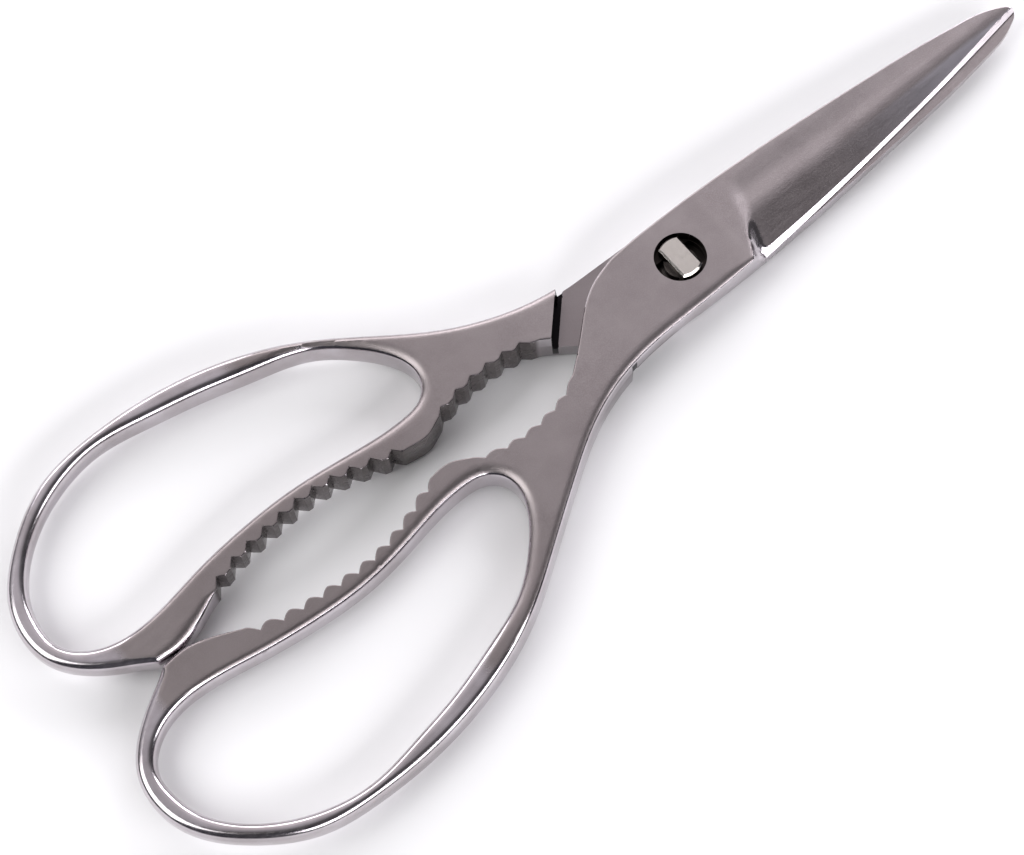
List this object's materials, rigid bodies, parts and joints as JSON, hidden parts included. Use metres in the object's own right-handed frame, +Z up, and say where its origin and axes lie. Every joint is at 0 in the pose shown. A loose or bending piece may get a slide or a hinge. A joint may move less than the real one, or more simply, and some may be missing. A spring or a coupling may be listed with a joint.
{
  "type": "poultry shears",
  "caption": "All-steel take-apart poultry shears with closed finger loops, toothed gripping jaws between the handles and an oblong-headed pivot stud.",
  "frame": {"origin": "on the pivot axis, at the rear half's back face, which is the resting plane", "axes": "+X along the closed blades to the tips, +Y towards the rear half's finger loop, +Z up out of the resting plane, along the pivot"},
  "size_m": [0.2069, 0.0827, 0.0077],
  "materials": {
    "front_steel": "satin faces, polished edges and loops",
    "rear_steel": "satin faces, polished edges and loops",
    "stud_steel": "satin"
  },
  "bodies": {
    "rear": {"rear_half": "rear_steel", "pivot_stud": "stud_steel"},
    "front": {"front_half": "front_steel"}
  },
  "joints": [
    {"name": "pivot", "type": "hinge", "parent": "rear", "child": "front", "pos_m": [0, 0, 0.0037], "axis": [0, 0, 1], "range_deg": [0, 90]}
  ]
}
